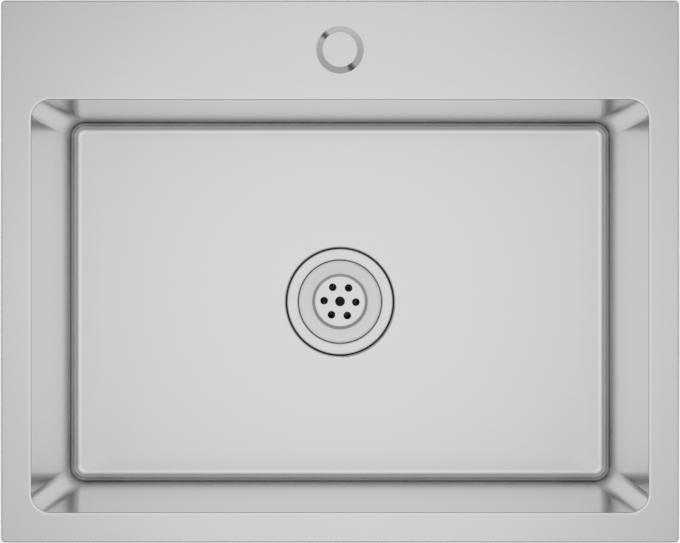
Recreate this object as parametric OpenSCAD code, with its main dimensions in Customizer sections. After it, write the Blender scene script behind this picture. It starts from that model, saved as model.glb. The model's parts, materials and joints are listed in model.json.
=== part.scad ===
// Top-mount stainless steel sink: one bowl, a rear ledge with a blanked tap hole and a basket waste.
// Millimetres. The origin is the middle of the panel, at the height of the worktop's surface.
// +Y is the tap side and +Z is up. Pieces that turn or travel are drawn where they rest.

/* [Deck panel] */
// Width of the panel, left to right
panel_w = 600; // [500:5:900]
// Depth of the panel, front to back
panel_d = 480; // [430:5:600]
// Thickness of the panel
panel_t = 3; // [2.5:0.5:5]
// Radius of the panel's outer corners
panel_corner_r = 4; // [3:0.5:12]
// Rounding of the panel's outer top edge
panel_edge_r = 1.5; // [0.5:0.25:2]
// Panel beside the bowl's mouth, left and right
side_margin = 27; // [25:1:60]
// Panel in front of the bowl's mouth
front_margin = 27; // [25:1:60]
// Tap ledge behind the bowl's mouth
rear_margin = 88; // [80:1:120]
// Rounding of the panel's top edge round the mouth
mouth_edge_r = 0.8; // [0.4:0.1:1.2]
// Width of the ground land round the mouth, which leans to the bowl
mouth_land_w = 2.2; // [1.2:0.1:2.4]
// Fall of that land
mouth_land_fall = 0.25; // [0.05:0.05:0.4]
// Hole for a tap, in the middle of the ledge
tap_hole_d = 35; // [32:0.5:36]

/* [Rim seal] */
// Width of the foam strip under the panel's edge
seal_w = 8; // [6:0.5:9]
// Thickness of the strip once it is pressed down
seal_t = 1.5; // [1:0.25:3]
// How far the strip stays inside the panel's edge
seal_inset = 1.5; // [1:0.25:2]

/* [Bowl] */
// Depth from the panel's top to the bowl's floor
bowl_depth = 200; // [185:5:240]
// Radius of the bowl's upright corners
bowl_corner_r = 17; // [15:1:40]
// Radius where the walls meet the floor
floor_r = 10; // [6:0.5:14]
// How much further in the walls stand at the floor than at the mouth
wall_taper = 2.5; // [0:0.25:2.5]
// Thickness of the bowl's sheet
sheet_t = 1.2; // [0.8:0.1:1.5]
// Inner radius of the sheet's tight bends
bend_r = 0.8; // [0.4:0.1:1.2]

/* [Drain seat] */
// Gap between the recess pressed into the floor and the waste's flange
seat_gap = 0.6; // [0.4:0.1:2]
// Depth of the recess
seat_depth = 4; // [3.6:0.1:6]
// Hole in the middle of the recess
drain_hole_d = 90; // [86:0.5:90]

/* [Waste body] */
// Outer diameter of the flange
flange_d = 107.4; // [107:0.2:116]
// How far the flange's top lies under the bowl's floor
flange_drop = 0.5; // [0.25:0.25:0.75]
// Thickness of the pressed flange
flange_t = 1.5; // [1.2:0.1:1.8]
// Gap between the flange's turned-down rim and the drain seat
rim_gap = 0.8; // [0.4:0.1:1]
// Diameter of the ledge that the basket hangs in
ledge_d = 82.8; // [82:0.2:84]
// Width of the slope between the flange and that ledge
ledge_slope_w = 1.4; // [0.8:0.1:2]
// Depth of that ledge under the flange's top
ledge_depth = 2.2; // [1.8:0.1:2.6]
// Rounding of the slope's upper edge
inner_edge_r = 0.8; // [0.4:0.1:1.2]
// Bore of the cup
cup_bore_d = 79; // [76:0.5:80]
// Wall of the cup, thread included
cup_wall = 2.5; // [2:0.1:3]
// Depth of the cup's straight wall under the flange's top
cup_depth = 37.5; // [34:0.5:50]
// Height of the cone at the cup's foot
cone_h = 8; // [6:0.5:14]
// Bore of the outlet neck
neck_bore_d = 40; // [34:0.5:42]
// Wall of the neck, thread included
neck_wall = 3.5; // [3:0.1:4]
// Length of the neck under the cone
neck_len = 16; // [14:0.5:24]

/* [Basket] */
// Thickness of the basket's sheet
basket_t = 1; // [0.8:0.1:1.2]
// Gap round the basket's rim
basket_rim_gap = 0.6; // [0.3:0.1:1]
// Fall of the dish between the rim and the well
dish_fall = 2.6; // [1.8:0.1:4]
// Width of the well at its top
well_d = 55.2; // [54:0.2:62]
// How much narrower the well is at its bottom
well_taper = 4.2; // [1:0.2:6]
// Depth of the well under the dish
well_depth = 14; // [8:0.5:18]
// Rounding of the edge where the dish turns down into the well
well_edge_r = 0.8; // [0.4:0.1:1.2]
// Rounding of the basket's rim
basket_edge_r = 0.3; // [0.2:0.05:0.35]
// Diameter of the six outer holes
outer_hole_d = 7.8; // [5:0.1:9]
// Radius of the circle that they lie on
hole_circle_r = 16.2; // [14:0.2:18]
// Diameter of the middle hole
middle_hole_d = 10; // [8:0.5:13]
// How far the ring of holes is turned
hole_turn = -2.6; // [-30:0.1:30]

/* [Waste seals and nuts] */
// Width of the rubber ring under the flange
flange_seal_w = 6.5; // [4:0.5:7]
// Gap between that ring and the flange's turned-down rim
seal_gap = 0.5; // [0.2:0.1:1]
// Thickness of the rubber washer under the drain seat
drain_washer_t = 3; // [2:0.5:4]
// Thickness of the slip ring
friction_ring_t = 1.5; // [1:0.25:2]
// Outer diameter of the washer and the slip ring
washer_d = 106; // [100:1:110]
// Height of the lock nut
lock_nut_h = 12; // [9:0.5:15]
// Outer diameter of the lock nut's collar
lock_nut_d = 102; // [98:1:106]
// Height of the lock nut's clamping flange
lock_flange_h = 3; // [2:0.5:4]
// How far the lock nut's clamping flange stands out
lock_flange_w = 3.5; // [3:0.5:5]
// How far its lugs stay inside that flange's edge
lug_step = 1; // [0.5:0.25:1.5]
// Width of a lug
lug_w = 8; // [5:0.5:12]
// Number of lugs
lug_count = 8; // [6:1:12]
// Gap of a thread that is drawn smooth
thread_gap = 0.2; // [0.1:0.05:0.3]

/* [Outlet] */
// Outer diameter of the outlet pipe
tail_d = 40; // [32:0.5:40]
// Wall of the outlet pipe
tail_wall = 1.8; // [1.5:0.1:2.5]
// Length of the outlet pipe under its collar
tail_len = 75; // [50:5:120]
// Height of the pipe's collar
tail_collar_h = 2; // [1.5:0.25:3]
// Thickness of the washer over the collar
tail_washer_t = 2; // [1.5:0.25:3]
// Wall of the coupling nut
coupling_wall = 4; // [3.5:0.25:6]
// How far the coupling nut reaches up the neck
coupling_grip = 11; // [8:0.5:12]
// Thickness of the lip that holds the collar
coupling_lip = 3; // [2:0.5:4]
// Gap between the lip and the pipe
coupling_gap = 1.2; // [0.9:0.1:1.6]
// Number of grip ribs round the coupling nut
rib_count = 12; // [8:1:18]
// Radius of a grip rib
rib_r = 1.6; // [1:0.1:2]

/* [Tap hole cover] */
// Diameter of the cap where it meets the panel
cap_d = 42; // [40:0.5:46]
// Diameter of the cap's flat top
cap_top_d = 31; // [28:0.5:33]
// Height of the cap
cap_h = 4; // [3.5:0.25:6]
// Height of the upright edge at the cap's foot
cap_edge_h = 0.6; // [0.4:0.1:1]
// Rounding of the cap's top edge
cap_edge_r = 1; // [0.5:0.1:2]
// Thickness of the cap's sheet
cap_t = 1.2; // [0.8:0.1:1.4]
// Width of the rubber ring under the cap
cover_seal_w = 3.5; // [2.5:0.25:4]
// Thickness of that ring
cover_seal_t = 1.2; // [0.8:0.1:1.5]
// Diameter of the weld disc inside the cap
cover_head_d = 16; // [12:0.5:20]
// Thickness of the weld disc
cover_head_t = 1; // [0.8:0.1:1.2]
// Length of the stud under the panel
cover_stud_len = 38; // [32:1:60]
// Diameter of the clamp washer
cover_washer_d = 46; // [42:1:50]
// Thickness of the clamp washer
cover_washer_t = 2; // [1.5:0.25:3]
// Diameter of the wing nut's hub
wing_hub_d = 12; // [11:0.5:14]
// Height of the hub
wing_hub_h = 7; // [6:0.5:9]
// Span across the wings
wing_span = 30; // [26:1:36]
// Thickness of a wing
wing_t = 2.4; // [1.8:0.1:3]
// Radius of a wing's round end
wing_r = 6; // [5:0.5:7]
// How far the wings' shoulders lie under the hub's top
wing_shoulder = 1; // [0.5:0.5:2]
// How far the wings hang under the hub
wing_drop = 5; // [3:0.5:8]

/* [Fixing clips] */
// Thread of the studs, of the clips and of the cover
stud_d = 6; // [5:0.5:6]
// Length of a clip's stud under the bowl's flange
stud_len = 70; // [64:1:80]
// Distance of a stud from the bowl's wall
stud_off = 7; // [6.8:0.1:8]
// Distance between a side's two studs
clip_spacing = 220; // [160:10:260]
// Diameter of a stud's weld foot
foot_d = 10; // [9:0.5:11]
// Thickness of the weld foot
foot_t = 2; // [1:0.25:3]
// Flange left outside the weld foot
foot_land = 0.8; // [0.5:0.1:0.8]
// Distance of the worktop's cut edge from the panel's edge
cut_margin = 10; // [10:0.5:11]
// How far a claw reaches under the worktop
claw_bite = 15; // [10:0.5:20]
// Width of a claw
claw_w = 12; // [11:0.25:12.5]
// Thickness of a claw's strip
claw_t = 2.5; // [2:0.25:3]
// Height of a claw's upturned end
claw_rise = 8; // [6:0.5:10]
// Height of a claw's teeth
tooth_h = 1.5; // [1:0.25:2]
// Number of teeth on a claw
tooth_count = 4; // [3:1:6]
// Diameter of a clip's washer
clip_washer_d = 11.6; // [11:0.1:12]
// Thickness of a clip's washer
clip_washer_t = 1.2; // [1:0.1:1.6]
// Size of the hexagon nuts, across their flats
nut_flats = 10; // [9.5:0.5:10]
// Height of the hexagon nuts
nut_h = 5; // [4:0.5:6]
// Stud left bare below the nut
stud_tip = 8; // [4:1:12]
// Gap round a stud that carries a sliding piece
stud_gap = 0.3; // [0.3:0.05:0.5]
// Gap between a nut's thread and its stud
nut_gap = 0.05; // [0.02:0.01:0.1]
// Gap between pieces that rest on each other and move apart
rest_gap = 0.2; // [0.1:0.05:0.3]

/* [Sound pads] */
// Thickness of the pads
pad_t = 2.5; // [2:0.5:4]
// Radius of the pads' corners
pad_corner_r = 12; // [6:1:20]
// Height of the wall pads
wall_pad_h = 95; // [60:5:95]
// Length of the front and rear pads
long_pad_l = 360; // [200:10:360]
// Length of the left and right pads
short_pad_l = 220; // [120:10:240]
// Gap between a wall pad and the floor's bend
pad_low_gap = 3; // [1:1:6]
// Width of a floor pad, left to right
floor_pad_w = 165; // [100:5:165]
// Length of a floor pad, front to back
floor_pad_l = 280; // [160:10:300]
// Gap between the floor pads, for the waste
floor_pad_gap = 150; // [134:2:160]

/* [Hidden] */
$fn = 64;
steel = [0.78, 0.78, 0.78];
zinc = [0.66, 0.68, 0.7];
rubber = [0.16, 0.16, 0.17];
dark_grey = [0.3, 0.31, 0.33];
white = [0.88, 0.88, 0.86];

// Cuts run this far past the faces that they open.
cut = 1;
// Stretches of one sheet that are drawn apart run this far into each other.
lap = 0.4;
// Lugs on a round piece start this far inside its edge.
root_in = 2;
// Film of glue between a leaning wall and its pad
glue_t = 0.05;
// Strip of panel round the mouth that carries the rounded edge
lip_w = 3;

// The bowl's mouth and its middle
bowl_w = panel_w - 2 * side_margin;
bowl_l = panel_d - front_margin - rear_margin;
bowl_y = (front_margin - rear_margin) / 2;
tap_y = panel_d / 2 - rear_margin / 2;

// Heights, from the worktop's surface
panel_z = seal_t;
deck_z = panel_z + panel_t;
floor_z = deck_z - bowl_depth;
seat_z = floor_z - seat_depth;
flange_z = floor_z - flange_drop;
ledge_z = flange_z - ledge_depth;
cup_z = flange_z - cup_depth;
neck_z = cup_z - cone_h - neck_len;

// The bowl's walls lean between these heights.
lean_z = panel_z - sheet_t - bend_r;
foot_z = floor_z + floor_r;
wall_slope = wall_taper / (lean_z - foot_z);

// Radii of the waste
flange_r = flange_d / 2;
seat_r = flange_r + seat_gap;
recess_r = seat_r + sheet_t + bend_r;
ledge_r = ledge_d / 2;
ledge_turn = atan(ledge_depth / ledge_slope_w);
cup_r = cup_bore_d / 2;
thread_r = cup_r + cup_wall;
neck_r = neck_bore_d / 2;
neck_thread_r = neck_r + neck_wall;
seal_in_r = flange_r - flange_t - seal_gap - flange_seal_w;

// Stack under the drain seat
washer_z = seat_z - sheet_t - drain_washer_t;
friction_z = washer_z - friction_ring_t;
lock_z = friction_z - lock_nut_h;
tail_washer_z = neck_z - tail_washer_t;
collar_z = tail_washer_z - tail_collar_h;

// Basket, hung on the ledge
basket_r = ledge_r - basket_rim_gap;
well_r = well_d / 2;
dish_slope = dish_fall / (basket_r - well_r);
basket_z = ledge_z + rest_gap + basket_t + (basket_r - cup_r) * dish_slope;
dish_z = basket_z - dish_fall;
well_z = dish_z - well_depth;

// Cover
cap_r = cap_d / 2;
cap_top_r = cap_top_d / 2;
cap_slope = (cap_r - cap_top_r) / (cap_h - cap_edge_h);
cap_side_t = cap_t * sqrt(1 + cap_slope * cap_slope);
cap_in_z = deck_z + cap_h - cap_t;
stud_r = stud_d / 2;
cover_washer_z = panel_z - rest_gap - cover_washer_t;
cover_nut_z = cover_washer_z - rest_gap - wing_hub_h;

// Clips
flange_w = sheet_t + stud_off + foot_d / 2 + foot_land;
stud_x = bowl_w / 2 + sheet_t + stud_off;
stud_z = panel_z - sheet_t;
nut_z = stud_z - stud_len + stud_tip;
clip_washer_z = nut_z + nut_h + rest_gap;
claw_z = clip_washer_z + clip_washer_t + rest_gap;
claw_reach = panel_w / 2 - cut_margin - stud_x + claw_bite;

// Pads
wall_pad_z = floor_z + floor_r + pad_low_gap + wall_pad_h / 2;

// Rectangle with round corners
module round_rect(w, d, r) {
    square([w - 2 * r, d], center = true);
    square([w, d - 2 * r], center = true);
    for (x = [-1, 1], y = [-1, 1])
        translate([x * (w / 2 - r), y * (d / 2 - r)])
            circle(r);
}

// Carries a section round a rectangle with round corners. The section's X is the distance outwards
// from the corner's axis, so the rectangle's own edge is at X = r.
module carry_round(w, d, r) {
    for (side = [0:3]) {
        half_x = (side % 2 == 0 ? w : d) / 2 - r;
        half_y = (side % 2 == 0 ? d : w) / 2 - r;
        rotate([0, 0, 90 * side])
            translate([half_x, half_y, 0]) {
                rotate([90, 0, 0])
                    linear_extrude(2 * half_y)
                        children();
                rotate_extrude(angle = 90)
                    children();
            }
    }
}

// What a rounded corner takes away: the corner points to +X +Y, and the arc's centre is the origin.
module corner_waste(r) {
    difference() {
        square(r + cut);
        circle(r);
        translate([r, r])
            square(2 * cut);
    }
}

// What a rounded edge takes away where a flat top turns down by less than a right angle: the edge is
// the origin, the top lies to -X and the slope falls to +X.
module edge_waste(r, turn) {
    run = r * tan(turn / 2);
    difference() {
        polygon([
            [-run, cut],
            [-run, -r],
            [r * sin(turn) - run, r * cos(turn) - r],
            [(cut + run) * cos(turn), -(cut + run) * sin(turn)],
            [cut + run, cut]
        ]);
        translate([-run, -r])
            circle(r);
    }
}

// Quarter of a bent sheet, in the corner that sx and sy point to. The bend's centre is the origin.
module bent_sheet(inner_r, t, sx, sy) {
    intersection() {
        difference() {
            circle(inner_r + t);
            if (inner_r > 0)
                circle(inner_r);
        }
        translate([sx > 0 ? 0 : -inner_r - t, sy > 0 ? 0 : -inner_r - t])
            square(inner_r + t);
    }
}

// Flat ring
module ring(outer_r, inner_r, h) {
    difference() {
        cylinder(r = outer_r, h = h);
        translate([0, 0, -cut])
            cylinder(r = inner_r, h = h + 2 * cut);
    }
}

// Section of the panel's outer edge, from the corner's axis
module panel_edge_section() {
    difference() {
        square([panel_corner_r, panel_t]);
        translate([panel_corner_r - panel_edge_r, panel_t - panel_edge_r])
            corner_waste(panel_edge_r);
    }
}

// Section of the panel's edge round the mouth, from the corner's axis: lip, leaning land and rounded edge
module mouth_edge_section() {
    land_slope = mouth_land_fall / mouth_land_w;
    edge_z = panel_t - land_slope * (mouth_land_w - mouth_edge_r);
    difference() {
        translate([bowl_corner_r, 0])
            square([lip_w, panel_t]);
        translate([bowl_corner_r, panel_t])
            polygon([
                [-cut, -mouth_land_fall - land_slope * cut],
                [mouth_land_w, 0],
                [mouth_land_w, cut],
                [-cut, cut]
            ]);
        translate([bowl_corner_r + mouth_edge_r, edge_z - mouth_edge_r])
            mirror([1, 0])
                corner_waste(mouth_edge_r);
    }
}

// Flat panel with the bowl's mouth and the tap hole, and both its edges rounded
module deck_panel() {
    edge_in = panel_corner_r - lap;
    hole_lip = lip_w - lap;
    color(steel) {
        translate([0, 0, panel_z]) {
            linear_extrude(panel_t)
                difference() {
                    square([panel_w - 2 * edge_in, panel_d - 2 * edge_in], center = true);
                    translate([0, bowl_y])
                        round_rect(bowl_w + 2 * hole_lip, bowl_l + 2 * hole_lip, bowl_corner_r + hole_lip);
                    translate([0, tap_y])
                        circle(d = tap_hole_d);
                }
            carry_round(panel_w, panel_d, panel_corner_r)
                panel_edge_section();
            translate([0, bowl_y, 0])
                carry_round(bowl_w, bowl_l, bowl_corner_r)
                    mouth_edge_section();
        }
    }
}

// Section of the bowl's wall, from the corner's axis: flange, upright lip, leaning wall, foot bend and floor
module bowl_section() {
    wall_x = bowl_corner_r;
    foot_x = wall_x - wall_taper;
    translate([wall_x, panel_z - sheet_t])
        square([flange_w, sheet_t]);
    translate([wall_x, lean_z])
        square([sheet_t, panel_z - lean_z]);
    polygon([
        [foot_x, foot_z],
        [foot_x + sheet_t, foot_z],
        [wall_x + sheet_t, lean_z],
        [wall_x, lean_z]
    ]);
    translate([wall_x + sheet_t, lean_z])
        difference() {
            square(bend_r);
            translate([bend_r, 0])
                circle(bend_r);
        }
    translate([foot_x - floor_r, foot_z])
        bent_sheet(floor_r, sheet_t, 1, -1);
    translate([0, floor_z - sheet_t])
        square([foot_x - floor_r, sheet_t]);
}

// Section of the drain seat, from the drain's axis: floor, two bends and the flat seat
module seat_section() {
    upper_z = floor_z - sheet_t - bend_r;
    lower_z = seat_z + bend_r;
    translate([recess_r, floor_z - sheet_t])
        square([lap, sheet_t]);
    translate([recess_r, upper_z])
        bent_sheet(bend_r, sheet_t, -1, 1);
    translate([seat_r, lower_z])
        square([sheet_t, upper_z - lower_z]);
    translate([seat_r - bend_r, lower_z])
        bent_sheet(bend_r, sheet_t, 1, -1);
    translate([drain_hole_d / 2, seat_z - sheet_t])
        square([seat_r - bend_r - drain_hole_d / 2, sheet_t]);
}

module bowl() {
    edge_in = bowl_corner_r - lap;
    color(steel)
        translate([0, bowl_y, 0]) {
            carry_round(bowl_w, bowl_l, bowl_corner_r)
                bowl_section();
            translate([0, 0, floor_z - sheet_t])
                linear_extrude(sheet_t)
                    difference() {
                        square([bowl_w - 2 * edge_in, bowl_l - 2 * edge_in], center = true);
                        circle(recess_r);
                    }
            rotate_extrude()
                seat_section();
        }
}

module rim_seal() {
    outer_w = panel_w - 2 * seal_inset;
    outer_d = panel_d - 2 * seal_inset;
    color(rubber)
        linear_extrude(seal_t)
            difference() {
                round_rect(outer_w, outer_d, panel_corner_r - seal_inset);
                square([outer_w - 2 * seal_w, outer_d - 2 * seal_w], center = true);
            }
}

// Pad with round corners, lying on its back
module pad(w, d) {
    linear_extrude(pad_t)
        round_rect(w, d, pad_corner_r);
}

// side is -1 on the left and 1 on the right
module floor_pad(side) {
    color(dark_grey)
        translate([side * (floor_pad_gap + floor_pad_w) / 2, bowl_y, floor_z - sheet_t - pad_t])
            pad(floor_pad_w, floor_pad_l);
}

// Leans with its wall. turn is 0 at the rear, 90 on the left, 180 at the front and 270 on the right
module wall_pad(turn, reach, length) {
    out = reach / 2 + sheet_t + glue_t - (lean_z - wall_pad_z) * wall_slope;
    color(dark_grey)
        translate([0, bowl_y, wall_pad_z])
            rotate([0, 0, turn])
                translate([0, out, 0])
                    rotate([90 - atan(wall_slope), 0, 0])
                        translate([0, 0, -pad_t])
                            pad(length, wall_pad_h);
}

// Section of the waste body, from the drain's axis: turned-down rim, flange, ledge, cup, cone and neck
module strainer_section() {
    lip_z = seat_z + rim_gap;
    under_z = flange_z - flange_t;
    rim_x = flange_r - flange_t;
    ledge_top_r = ledge_r + ledge_slope_w;
    ledge_side_t = flange_t * tan(ledge_turn / 2);
    ledge_low_z = ledge_z - flange_t;
    cone_z = cup_z - cone_h;
    difference() {
        polygon([
            [neck_r, neck_z],
            [neck_r, cone_z],
            [cup_r, cup_z],
            [cup_r, ledge_z],
            [ledge_r, ledge_z],
            [ledge_top_r, flange_z],
            [flange_r, flange_z],
            [flange_r, lip_z],
            [rim_x, lip_z],
            [rim_x, under_z],
            [ledge_top_r + ledge_side_t, under_z],
            [ledge_r + ledge_side_t, ledge_low_z],
            [thread_r, ledge_low_z],
            [thread_r, cup_z - cup_wall],
            [neck_thread_r, cone_z - cup_wall],
            [neck_thread_r, neck_z]
        ]);
        translate([rim_x, under_z])
            corner_waste(flange_t);
        translate([ledge_top_r, flange_z])
            mirror([1, 0])
                edge_waste(inner_edge_r, ledge_turn);
    }
}

module strainer_body() {
    color(steel)
        translate([0, bowl_y, 0])
            rotate_extrude()
                strainer_section();
}

// Square to a slope that falls by this angle, pointing below it
function below(fall) = [sin(fall), -cos(fall)];

// Step from a bend on a sheet's upper side to the same bend on its lower side, for slopes a and b
function mitre(a, b, t) = t * (below(a) + below(b)) / (1 + below(a) * below(b));

// Section of the basket, from its axis: rounded rim, dish, tapered well and flat bottom
module basket_section() {
    dish_fall_angle = atan(dish_slope);
    bottom_r = (well_d - well_taper) / 2;
    wall_angle = atan(well_depth / (well_r - bottom_r));
    rim = [basket_r, basket_z];
    lip = [well_r, dish_z];
    foot = [bottom_r, well_z];
    rim_low = rim - [0, basket_t / cos(dish_fall_angle)];
    difference() {
        polygon([
            [0, well_z],
            foot,
            lip,
            rim,
            rim_low,
            lip + mitre(dish_fall_angle, wall_angle, basket_t),
            foot + mitre(wall_angle, 0, basket_t),
            [0, well_z - basket_t]
        ]);
        translate(lip)
            mirror([1, 0])
                rotate(-dish_fall_angle)
                    edge_waste(well_edge_r, wall_angle - dish_fall_angle);
        translate(rim)
            rotate(dish_fall_angle)
                edge_waste(basket_edge_r, 90 + dish_fall_angle);
        translate(rim_low)
            mirror([0, 1])
                rotate(-dish_fall_angle)
                    edge_waste(basket_edge_r, 90 - dish_fall_angle);
    }
}

module strainer_basket() {
    hole_h = basket_t + 2 * cut;
    color(steel)
        translate([0, bowl_y, 0])
            difference() {
                rotate_extrude()
                    basket_section();
                translate([0, 0, well_z - basket_t - cut]) {
                    cylinder(d = middle_hole_d, h = hole_h);
                    for (i = [0:5])
                        rotate([0, 0, 60 * i + hole_turn])
                            translate([hole_circle_r, 0, 0])
                                cylinder(d = outer_hole_d, h = hole_h);
                }
            }
}

module flange_seal() {
    color(rubber)
        translate([0, bowl_y, seat_z])
            ring(seal_in_r + flange_seal_w, seal_in_r, flange_z - flange_t - seat_z);
}

module drain_washer() {
    color(rubber)
        translate([0, bowl_y, washer_z])
            ring(washer_d / 2, thread_r + thread_gap, drain_washer_t);
}

module friction_ring() {
    color(white)
        translate([0, bowl_y, friction_z])
            ring(washer_d / 2, thread_r + thread_gap, friction_ring_t);
}

module lock_nut() {
    collar_r = lock_nut_d / 2;
    flange_edge_r = collar_r + lock_flange_w;
    lug_x = collar_r - root_in;
    color(dark_grey)
        translate([0, bowl_y, lock_z])
            difference() {
                union() {
                    cylinder(r = collar_r, h = lock_nut_h);
                    translate([0, 0, lock_nut_h - lock_flange_h])
                        cylinder(r = flange_edge_r, h = lock_flange_h);
                    for (i = [0:lug_count - 1])
                        rotate([0, 0, 360 / lug_count * i])
                            translate([lug_x, -lug_w / 2, 0])
                                cube([flange_edge_r - lug_step - lug_x, lug_w, lock_nut_h - lock_flange_h]);
                }
                translate([0, 0, -cut])
                    cylinder(r = thread_r + thread_gap, h = lock_nut_h + 2 * cut);
            }
}

module tailpiece_washer() {
    color(rubber)
        translate([0, bowl_y, tail_washer_z])
            ring(neck_thread_r - thread_gap, tail_d / 2 - tail_wall, tail_washer_t);
}

module tailpiece() {
    color(white)
        translate([0, bowl_y, 0])
            difference() {
                union() {
                    translate([0, 0, collar_z])
                        cylinder(r = neck_thread_r - thread_gap, h = tail_collar_h);
                    translate([0, 0, collar_z - tail_len])
                        cylinder(d = tail_d, h = tail_len);
                }
                translate([0, 0, collar_z - tail_len - cut])
                    cylinder(d = tail_d - 2 * tail_wall, h = tail_len + tail_collar_h + 2 * cut);
            }
}

module coupling_nut() {
    nut_bottom = collar_z - coupling_lip;
    nut_top = neck_z + coupling_grip;
    bore_r = neck_thread_r + thread_gap;
    outer_r = bore_r + coupling_wall;
    color(dark_grey)
        translate([0, bowl_y, nut_bottom])
            difference() {
                union() {
                    cylinder(r = outer_r, h = nut_top - nut_bottom);
                    for (i = [0:rib_count - 1])
                        rotate([0, 0, 360 / rib_count * i])
                            translate([outer_r, 0, 0])
                                cylinder(r = rib_r, h = nut_top - nut_bottom);
                }
                translate([0, 0, coupling_lip])
                    cylinder(r = bore_r, h = nut_top - nut_bottom);
                translate([0, 0, -cut])
                    cylinder(r = tail_d / 2 + coupling_gap, h = coupling_lip + 2 * cut);
            }
}

// Pressed cap with a conical side, hollow underneath
module cover_cap() {
    color(steel)
        translate([0, tap_y, deck_z])
            rotate_extrude()
                difference() {
                    polygon([
                        [0, cap_h],
                        [cap_top_r, cap_h],
                        [cap_r, cap_edge_h],
                        [cap_r, 0],
                        [cap_r + cap_slope * cap_edge_h - cap_side_t, 0],
                        [cap_top_r + cap_slope * cap_t - cap_side_t, cap_h - cap_t],
                        [0, cap_h - cap_t]
                    ]);
                    translate([cap_top_r, cap_h])
                        edge_waste(cap_edge_r, atan(1 / cap_slope));
                }
}

module cover_seal() {
    outer_r = cap_r + cap_slope * (cap_edge_h - cover_seal_t) - cap_side_t - rest_gap;
    color(rubber)
        translate([0, tap_y, deck_z])
            ring(outer_r, outer_r - cover_seal_w, cover_seal_t);
}

module cover_stud() {
    color(zinc)
        translate([0, tap_y, 0]) {
            translate([0, 0, cap_in_z - cover_head_t])
                cylinder(d = cover_head_d, h = cover_head_t);
            translate([0, 0, panel_z - cover_stud_len])
                cylinder(r = stud_r, h = cap_in_z - panel_z + cover_stud_len);
        }
}

module cover_washer() {
    color(zinc)
        translate([0, tap_y, cover_washer_z])
            ring(cover_washer_d / 2, stud_r + stud_gap, cover_washer_t);
}

// Wing nut: a hub with two rounded wings that spread downwards
module cover_nut() {
    wing_x = wing_span / 2 - wing_r;
    color(zinc)
        translate([0, tap_y, cover_nut_z])
            difference() {
                union() {
                    cylinder(d = wing_hub_d, h = wing_hub_h);
                    for (side = [-1, 1])
                        translate([0, wing_t / 2, 0])
                            rotate([90, 0, 0])
                                linear_extrude(wing_t) {
                                    translate([side * wing_x, wing_r - wing_drop])
                                        circle(wing_r);
                                    polygon([
                                        [0, 0],
                                        [0, wing_hub_h - wing_shoulder],
                                        [side * wing_x, 2 * wing_r - wing_drop],
                                        [side * wing_x, -wing_drop]
                                    ]);
                                }
                }
                translate([0, 0, -wing_drop - cut])
                    cylinder(r = stud_r + nut_gap, h = wing_hub_h + wing_drop + 2 * cut);
            }
}

// sx is -1 on the left and 1 on the right, sy is -1 at the front and 1 at the rear
module at_clip(sx, sy) {
    translate([sx * stud_x, bowl_y + sy * clip_spacing / 2, 0])
        children();
}

module clip_studs() {
    color(zinc)
        for (sx = [-1, 1], sy = [-1, 1])
            at_clip(sx, sy) {
                translate([0, 0, stud_z - foot_t])
                    cylinder(d = foot_d, h = foot_t);
                translate([0, 0, stud_z - stud_len])
                    cylinder(r = stud_r, h = stud_len);
            }
}

// Toothed claw, stowed along the bowl's wall and pointing to the middle of its side
module clip_claw(sx, sy) {
    pitch = claw_w / tooth_count;
    end_x = claw_reach - claw_t;
    color(zinc)
        at_clip(sx, sy)
            rotate([0, 0, -90 * sy])
                translate([0, 0, claw_z])
                    difference() {
                        union() {
                            cylinder(d = claw_w, h = claw_t);
                            translate([0, -claw_w / 2, 0])
                                cube([claw_reach, claw_w, claw_t]);
                            translate([end_x, -claw_w / 2, 0])
                                cube([claw_t, claw_w, claw_rise - tooth_h]);
                            for (i = [0:tooth_count - 1])
                                translate([end_x, -claw_w / 2 + i * pitch, claw_rise - tooth_h])
                                    rotate([90, 0, 90])
                                        linear_extrude(claw_t)
                                            polygon([[0, 0], [pitch, 0], [pitch / 2, tooth_h]]);
                        }
                        translate([0, 0, -cut])
                            cylinder(r = stud_r + stud_gap, h = claw_t + 2 * cut);
                    }
}

module clip_washer(sx, sy) {
    color(zinc)
        at_clip(sx, sy)
            translate([0, 0, clip_washer_z])
                ring(clip_washer_d / 2, stud_r + stud_gap, clip_washer_t);
}

module clip_nut(sx, sy) {
    color(zinc)
        at_clip(sx, sy)
            translate([0, 0, nut_z])
                difference() {
                    cylinder(r = nut_flats / sqrt(3), h = nut_h, $fn = 6);
                    translate([0, 0, -cut])
                        cylinder(r = stud_r + nut_gap, h = nut_h + 2 * cut);
                }
}

deck_panel();
bowl();
rim_seal();
floor_pad(-1);  // floor_pad_left
floor_pad(1);  // floor_pad_right
wall_pad(90, bowl_w, short_pad_l);  // left_pad
wall_pad(270, bowl_w, short_pad_l);  // right_pad
wall_pad(180, bowl_l, long_pad_l);  // front_pad
wall_pad(0, bowl_l, long_pad_l);  // rear_pad
strainer_body();
strainer_basket();
flange_seal();
drain_washer();
friction_ring();
lock_nut();
tailpiece_washer();
tailpiece();
coupling_nut();
cover_cap();
cover_seal();
cover_stud();
cover_washer();
cover_nut();
clip_studs();
clip_claw(-1, -1);  // left_front_claw
clip_washer(-1, -1);  // left_front_washer
clip_nut(-1, -1);  // left_front_nut
clip_claw(-1, 1);  // left_rear_claw
clip_washer(-1, 1);  // left_rear_washer
clip_nut(-1, 1);  // left_rear_nut
clip_claw(1, -1);  // right_front_claw
clip_washer(1, -1);  // right_front_washer
clip_nut(1, -1);  // right_front_nut
clip_claw(1, 1);  // right_rear_claw
clip_washer(1, 1);  // right_rear_washer
clip_nut(1, 1);  // right_rear_nut
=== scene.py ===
import json
import math

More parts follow.
